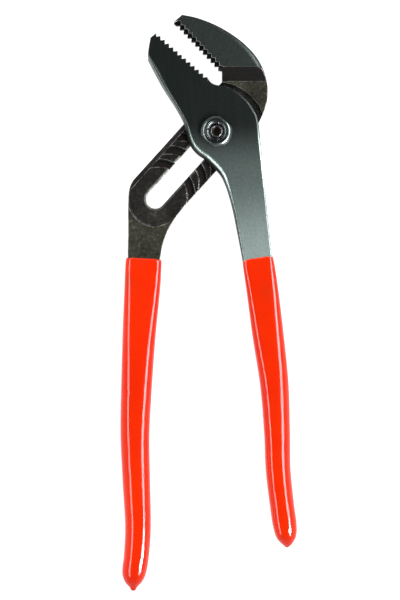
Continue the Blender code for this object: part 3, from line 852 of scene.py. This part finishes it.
def make_groove_half(mat):
    ob = rounded_plate("groove_half_forging", groove_outline(), BACK, FRONT, squash=0.6)
    cut(ob, step_cutter())
    cut(ob, slab("neck_cut", band(-140.0, -2.0, -60.0, 60.0), NECK, FRONT + 2))
    cut(ob, slab("joint_cut", stadium(0.0, SLOT_END, NECK_ARC), JOINT, FRONT + 1))
    cut(ob, slab("hub_cut", circle(SHOULDER_ARC), JOINT, SHOULDER + 0.01, flare=0.7, depth=2.2))
    cut(ob, ledge_cutter())
    cut(ob, slab("slot_cut", stadium(SLOT_START, SLOT_END, SLOT_HALF), BACK - 1, FRONT + 5))
    cut(ob, tooth_relief_cutter())
    soften_rims(ob, (JOINT, NECK), RIM_ROUND)
    arc_line = sector(NECK_ARC - 0.1, NECK_ARC + 0.3, *ARC_LINE, uv(SLOT_END, 0.0))
    cut(ob, slab("arc_line_cut", arc_line, JOINT - 0.35, NECK + 1))
    half = GROOVE_WIDTH / 2 - 0.25
    for i in range(POSITIONS):
        shape = sector(ARC - half, ARC + half, -GROOVE_REACH, GROOVE_REACH, uv(-PITCH * i, 0.0))
        cut(ob, slab("groove_cut", shape, GROOVE_FLOOR, NECK + 0.1, flare=0.45, depth=1.8))
    return finish_piece(ob, HALF_A, "groove_half", mat)


def tooth_relief_cutter():
    """Shallow stepped rebate behind the upper teeth."""
    a, b = Vector(UPPER_TIP), Vector(UPPER_ROOT)
    run = (b - a) / UPPER_TEETH
    inner = Vector((-run.y, run.x)).normalized()
    line = [a - run * 0.9 - inner * 4.0, b + run * 1.2 - inner * 4.0, b + run * 1.2 + inner * 1.9]
    for i in range(UPPER_TEETH * 2 + 1):
        t = UPPER_TEETH - i / 2
        line.append(a + run * t + inner * (3.3 if i % 2 == 0 else 1.95))
    line.append(a - run * 0.45 + inner * 2.2)
    return slab("relief_cut", line, FRONT - 0.45, FRONT + 3)


def step_cutter():
    """Everything above the shoulder, ending in the slanted step under the upper jaw."""
    top = FRONT + 6.0
    far = STEP_FOOT + (STEP_HEAD - STEP_FOOT) / (FRONT - SHOULDER) * (top - SHOULDER)
    profile = ((-120.0, SHOULDER), (STEP_FOOT, SHOULDER), (far, top), (-120.0, top))
    return skin("step_cut", [[(x, y, z) for y, z in profile] for x in (-80.0, 60.0)])


def ledge_cutter():
    """Lowered, slightly sloping flank outside the left rail."""
    inner = [uv(21.0, RAIL_LEFT), uv(-50.0, RAIL_LEFT), uv(-57.0, RAIL_LEFT)]
    outer = [uv(23.5, ARM_LEFT - 4.0), uv(-57.0, ARM_LEFT - 4.0), uv(-66.0, ARM_LEFT - 4.0)]
    slope = 2.0
    outer.reverse()
    bottom = [(*p, LEDGE) for p in inner] + [(*p, LEDGE - slope) for p in outer]
    top = [(*p, FRONT + 4) for p in inner + outer]
    return skin("ledge_cut", [bottom, top])


def make_tongue_half(mat):
    ob = rounded_plate("tongue_half_forging", tongue_outline(), BACK, FRONT, squash=0.55)
    # below the hub and on its right this half lies wholly in front of the relief plane
    below = [(-60, -90), (60, -90), (60, 8), (14, 8), (14, -20), (-60, -20)]
    cut(ob, slab("handle_cut", below, BACK - 1, RELIEF))
    relief = slab("relief_cut", circle(HUB_RELIEF), BACK - 2, RELIEF)
    pads = slab("pad", circle(HUB_PAD), PAD, RELIEF + 1)
    rim = slab("rim_pad", band(RIM_PAD, 40.0, -40.0, 40.0), PAD, RELIEF + 1)
    cut(relief, join(pads, rim))
    cut(ob, relief)
    tongue = sector(ARC - TONGUE_HALF, ARC + TONGUE_HALF, TONGUE_START, TONGUE_STOP, (0.0, 0.0))
    join(ob, slab("tongue", tongue, TONGUE_TIP, RELIEF + 1))
    cut(ob, slab("hub_hole", circle(HUB_HOLE, 64), BACK - 3, FRONT + 1))
    return finish_piece(ob, HALF_B, "tongue_half", mat)


def read(rows, y):
    """Row of grip measures at any distance, passed smoothly through the given rows."""
    i = 0
    while i < len(rows) - 2 and y > rows[i + 1][0]:
        i += 1
    a, b = rows[i], rows[i + 1]
    before, after = rows[max(i - 1, 0)], rows[min(i + 2, len(rows) - 1)]
    span = b[0] - a[0]
    t = (y - a[0]) / span
    t2, t3 = t * t, t * t * t
    vals = [y]
    for k in range(1, len(a)):
        ma = (b[k] - before[k]) / (b[0] - before[0]) * span
        mb = (after[k] - a[k]) / (after[0] - a[0]) * span
        vals.append((2 * t3 - 3 * t2 + 1) * a[k] + (t3 - 2 * t2 + t) * ma
                    + (3 * t2 - 2 * t3) * b[k] + (t3 - t2) * mb)
    return vals


def make_grip(name, rows, body, node, mat, ring=72):
    """Dipped skin from its rounded lip to the small drip point at its end."""
    first, tip = rows[0][0], rows[-1][0]
    ys = [(first + d, lip) for d, lip in LIP]
    ys += [(first + 1.2 + (tip - first - TIP_LENGTH - 2.0) * i / GRIP_RINGS, 0.0)
           for i in range(GRIP_RINGS + 1)]
    ys += [(tip - TIP_LENGTH + TIP_LENGTH * math.sin(math.pi / 2 * i / TIP_RINGS), 0.0)
           for i in range(1, TIP_RINGS + 1)]
    rings = []
    for y, lip in ys:
        y, x, half, z, depth, power = read(rows, y)
        ahead, behind = read(rows, min(y + 1.0, tip)), read(rows, max(y - 1.0, first))
        along = Vector((ahead[1] - behind[1], behind[0] - ahead[0])).normalized()
        side = Vector((-along.y, along.x))
        line = []
        for k in range(ring):
            a = 2 * math.pi * (k + 0.5) / ring
            c, s = math.cos(a), math.sin(a)
            w = (half - lip) * math.copysign(abs(c) ** (2.0 / power), c)
            h = (depth - lip) * math.copysign(abs(s) ** (2.0 / power), s)
            line.append((x + side.x * w, -y + side.y * w, z + h))
        rings.append(line)
    last = rings[-1]
    mid = Vector((0.0, 0.0, 0.0))
    for p in last:
        mid += Vector(p) / ring
    rings.append([tuple(mid + (Vector(p) - mid) * 0.5 + Vector((0.0, -0.25, 0.0))) for p in last])
    return finish_piece(skin(name, rings), body, node, mat, 50.0)


def make_bolt(mat):
    """Turned bolt: recessed thread end, journal, keyed shank and flat round head."""
    recess = ((0.0, BOLT_TOP - 1.5), (1.9, BOLT_TOP - 1.45), (2.2, BOLT_TOP - 1.25), (2.3, BOLT_TOP - 0.9),
              (2.45, BOLT_TOP - 0.2))
    thread = ((2.7, BOLT_TOP), (2.9, BOLT_TOP), (3.15, BOLT_TOP - 0.15), (THREAD, BOLT_TOP - 0.6),
              (THREAD, FRONT))
    shank = ((JOURNAL, FRONT), (JOURNAL, JOINT + 0.1), (KEY_RADIUS, JOINT + 0.1), (KEY_RADIUS, HEAD_TOP))
    head = ((HEAD_RADIUS - 0.2, HEAD_TOP), (HEAD_RADIUS, HEAD_TOP - 0.2), (HEAD_RADIUS, 1.0),
            (HEAD_RADIUS - 0.25, 0.45), (HEAD_RADIUS - 0.8, 0.08), (HEAD_RADIUS - 1.4, 0.0))
    dimple = ((2.2, 0.0), (1.9, 0.35), (0.0, 0.5))
    ob = lathe("pivot_bolt_turned", recess + thread + shank + head + dimple)
    for side in SIDES:
        flat = band(-9.0, 9.0, side * KEY_FLAT, side * BEYOND)
        cut(ob, slab("key_flat", flat, HEAD_TOP, JOINT + 1.0))
    return finish_piece(ob, PIVOT, "pivot_bolt", mat)


def make_nut(mat):
    """Round nut with a dished face, a raised ring, a rounded shoulder, two flats and three stakes."""
    dish = ((NUT_BORE, NUT_TOP - 1.3), (3.8, NUT_TOP - 0.9), (5.0, NUT_TOP - 0.75), (5.4, NUT_TOP - 0.45))
    ring = ((5.6, NUT_TOP - 0.08), (5.8, NUT_TOP), (6.2, NUT_TOP), (6.7, NUT_TOP - 0.1))
    shoulder = ((7.2, NUT_TOP - 0.3), (7.7, NUT_TOP - 0.62), (8.1, NUT_TOP - 1.0), (8.35, NUT_TOP - 1.5),
                (NUT_RADIUS, NUT_TOP - 2.0))
    foot = ((NUT_RADIUS, NUT_BASE + 0.2), (NUT_RADIUS - 0.2, NUT_BASE), (NUT_BORE, NUT_BASE))
    ob = lathe("pivot_nut_turned", dish + ring + shoulder + foot)
    for side in SIDES:
        flat = band(side * NUT_FLAT, side * BEYOND, -BEYOND, BEYOND)
        cut(ob, slab("nut_flat", flat, NUT_BASE - 1, NUT_TOP + 1))
    for degrees in STAKES:
        a = math.radians(degrees)
        d = Vector((math.cos(a), math.sin(a)))
        n = Vector((-d.y, d.x))
        nick = [d * 3.9 - n * 0.4, d * 5.5 - n * 0.55, d * 5.5 + n * 0.55, d * 3.9 + n * 0.4]
        cut(ob, slab("stake", nick, NUT_TOP - 1.15, NUT_TOP + 1, flare=0.3, depth=0.7))
    return finish_piece(ob, PIVOT, "pivot_nut", mat)


# ---------------------------------------------------------------- stage, light and camera

def make_floor():
    """Plain pale floor that glows a little, just under the tool."""
    bm = bmesh.new()
    bmesh.ops.create_grid(bm, x_segments=8, y_segments=8, size=3.0)
    ob = mesh_object("studio_floor", bm)
    s = Shader("pale_floor")
    s.put(s.bsdf.inputs["Base Color"], s.ramp(s.noise(s.coord, 3.0), (0.3, 0.34), (0.7, 0.36)))
    s.bsdf.inputs["Roughness"].default_value = 0.9
    s.bsdf.inputs["Specular IOR Level"].default_value = 0.1
    s.bsdf.inputs["Emission Color"].default_value = (1.0, 1.0, 1.0, 1.0)
    s.bsdf.inputs["Emission Strength"].default_value = 0.98
    ob.data.materials.append(s.mat)
    ob.location.z = -0.1 * MM


def make_world():
    """Soft studio sky, bright near the horizon and dark overhead."""
    world = bpy.data.worlds.new("studio")
    bpy.context.scene.world = world
    world.use_nodes = True
    tree = world.node_tree
    coord = tree.nodes.new("ShaderNodeTexCoord").outputs["Generated"]
    sep = tree.nodes.new("ShaderNodeSeparateXYZ")
    tree.links.new(coord, sep.inputs[0])
    ramp = tree.nodes.new("ShaderNodeValToRGB")
    tree.links.new(sep.outputs[2], ramp.inputs[0])
    el = ramp.color_ramp.elements
    while len(el) < len(SKY):
        el.new(0.5)
    for e, (at, v) in zip(el, SKY):
        e.position = at
        e.color = (v, v, v, 1.0)
    background = tree.nodes["Background"]
    tree.links.new(ramp.outputs[0], background.inputs[0])
    background.inputs[1].default_value = 1.1


def area_light(name, place, aim, size, radiance):
    """Panel that shows in highlights only."""
    data = bpy.data.lights.new(name, "AREA")
    data.shape = "RECTANGLE"
    data.size, data.size_y = size
    data.energy = radiance * math.pi * size[0] * size[1]
    data.color = (0.97, 0.96, 1.0)
    ob = bpy.data.objects.new(name, data)
    bpy.context.scene.collection.objects.link(ob)
    ob.location = place
    ob.rotation_euler = (Vector(aim) - Vector(place)).to_track_quat("-Z", "Y").to_euler()
    ob.visible_camera = False
    ob.visible_diffuse = False
    return ob


def make_lights():
    area_light("strip_left", (-0.34, -0.10, 0.42), (0.0, -0.10, 0.0), (0.80, 0.11), 11.0)
    area_light("strip_right", (0.34, -0.10, 0.42), (0.0, -0.10, 0.0), (0.80, 0.17), 18.0)
    area_light("corner_box", (0.26, -0.30, 0.34), (0.0, 0.0, 0.02), (0.14, 0.14), 80.0)
    sun = bpy.data.lights.new("overhead", "SUN")
    sun.energy = 2.6
    sun.angle = math.radians(9.0)
    ob = bpy.data.objects.new("overhead", sun)
    ob.rotation_euler = (math.radians(-32.0), math.radians(12.0), 0.0)
    bpy.context.scene.collection.objects.link(ob)
    ob.visible_glossy = False


def make_camera():
    lo, hi = Vector(CAD_BOX[0]), Vector(CAD_BOX[1])
    middle = (lo + hi) / 2
    data = bpy.data.cameras.new("camera")
    data.sensor_width = 36.0
    data.lens = data.sensor_width * (CAMERA_AWAY - hi.z) / VIEW_HEIGHT
    data.clip_start, data.clip_end = 0.1, 50.0
    ob = bpy.data.objects.new("camera", data)
    bpy.context.scene.collection.objects.link(ob)
    ob.location = (middle.x + VIEW_SHIFT[0], middle.y + VIEW_SHIFT[1], CAMERA_AWAY)
    bpy.context.scene.camera = ob


def main():
    bpy.context.scene.view_settings.view_transform = "Standard"
    nut_steel = turned_material("nut_steel", (0.055, 0.067, 0.064), (0.12, 0.139, 0.134))
    bolt_steel = turned_material("bolt_steel", (0.10, 0.105, 0.10), (0.26, 0.27, 0.26))
    make_groove_half(forged_material())
    make_tongue_half(brushed_material())
    make_grip("groove_half_grip_skin", LEFT_GRIP, HALF_A, "groove_half_grip",
              vinyl_material("dipped_vinyl_a", 0.0))
    make_grip("tongue_half_grip_skin", RIGHT_GRIP, HALF_B, "tongue_half_grip",
              vinyl_material("dipped_vinyl_b", 0.37))
    make_bolt(bolt_steel)
    make_nut(nut_steel)
    make_floor()
    make_world()
    make_lights()
    make_camera()


main()
